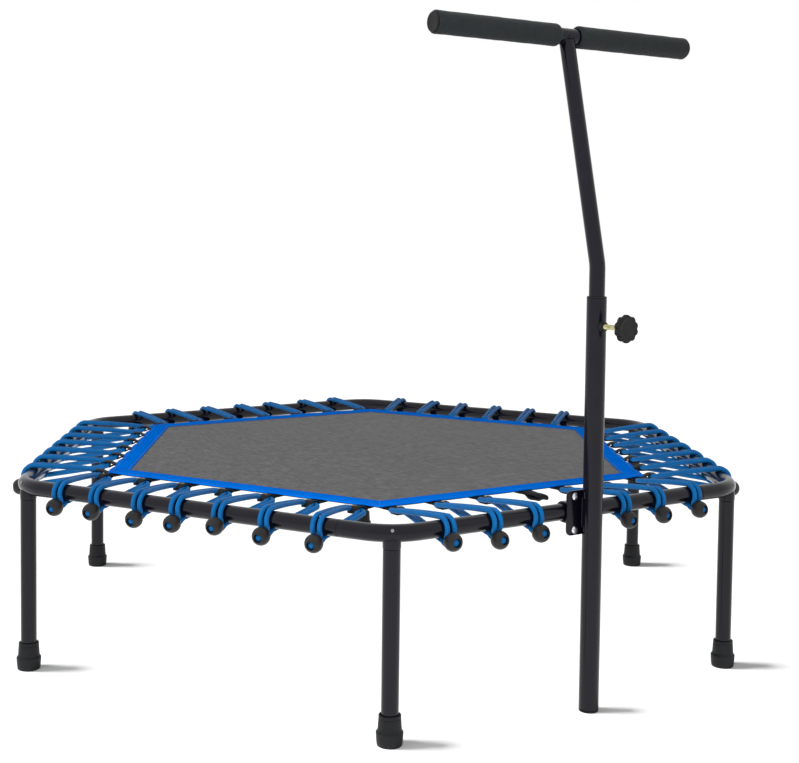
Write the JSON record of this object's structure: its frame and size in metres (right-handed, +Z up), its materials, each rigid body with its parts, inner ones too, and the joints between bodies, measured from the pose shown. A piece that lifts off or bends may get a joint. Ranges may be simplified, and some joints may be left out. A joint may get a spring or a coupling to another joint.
{
  "type": "mini trampoline",
  "caption": "Low hexagonal fitness trampoline hung on ball-end bungee loops, with screw-in legs, rubber feet and a clamped-on, height-adjustable padded T-handle.",
  "frame": {"origin": "bounding-box centre at floor level", "axes": "+Z up from the floor, +X along the crossbar and from corner to corner, -Y towards the side with the handle post"},
  "size_m": [1.3498, 1.2916, 1.0257],
  "materials": {
    "black_paint": "semi-gloss black powder coat",
    "zinc": "bright zinc plate",
    "yellow_zinc": "yellow passivated zinc plate",
    "foot_rubber": "moulded satin black rubber",
    "black_plastic": "moulded black plastic",
    "grip_foam": "closed-cell foam",
    "mat_fabric": "woven polypropylene",
    "border_fabric": "woven blue edging",
    "bungee_cord": "braided polyester over rubber"
  },
  "bodies": {
    "frame": {"rail_corner_1": "black_paint", "leg_1": "black_paint", "foot_1": "foot_rubber", "corner_screw_1": "zinc", "rail_side_1": "black_paint", "rail_corner_2": "black_paint", "leg_2": "black_paint", "foot_2": "foot_rubber", "corner_screw_2": "zinc", "rail_side_2": "black_paint", "rail_corner_3": "black_paint", "leg_3": "black_paint", "foot_3": "foot_rubber", "corner_screw_3": "zinc", "rail_side_3": "black_paint", "rail_corner_4": "black_paint", "leg_4": "black_paint", "foot_4": "foot_rubber", "corner_screw_4": "zinc", "rail_side_4": "black_paint", "rail_corner_5": "black_paint", "leg_5": "black_paint", "foot_5": "foot_rubber", "corner_screw_5": "zinc", "rail_side_5": "black_paint", "rail_corner_6": "black_paint", "leg_6": "black_paint", "foot_6": "foot_rubber", "corner_screw_6": "zinc", "rail_side_6": "black_paint", "bungee_row_1": "bungee_cord", "bungee_row_2": "bungee_cord", "bungee_row_3": "bungee_cord", "bungee_row_4": "bungee_cord", "bungee_row_5": "bungee_cord", "bungee_row_6": "bungee_cord", "clamp_front": "black_paint", "clamp_rear": "black_paint", "clamp_screw_1": "zinc", "clamp_screw_2": "zinc", "clamp_screw_3": "zinc", "clamp_screw_4": "zinc", "outer_post": "black_paint", "post_cap": "black_plastic", "post_bushing": "black_plastic", "knob_nut": "black_paint"},
    "mat": {"mat_fabric": "mat_fabric", "mat_border": "border_fabric"},
    "handle": {"upper_tube": "black_paint", "tube_glide": "black_plastic", "crossbar": "black_paint", "grip_left": "grip_foam", "grip_right": "grip_foam", "end_cap_left": "black_plastic", "end_cap_right": "black_plastic"},
    "knob": {"knob_stud": "yellow_zinc", "knob": "black_plastic"}
  },
  "joints": [
    {"name": "handle_height", "type": "slide", "parent": "frame", "child": "handle", "axis": [0, 0, 1], "range_m": [-0.03, 0.24]},
    {"name": "knob_turn", "type": "hinge", "parent": "frame", "child": "knob", "pos_m": [0, -0.57722, 0.577], "axis": [0.0349, -0.9994, 0], "continuous": true},
    {"name": "mat_bounce", "type": "slide", "parent": "frame", "child": "mat", "axis": [0, 0, 1], "range_m": [-0.12, 0], "stiffness_N_per_m": 8000, "springref_m": 0.002, "deforming": ["bungee_row_1", "bungee_row_2", "bungee_row_3", "bungee_row_4", "bungee_row_5", "bungee_row_6"]}
  ]
}
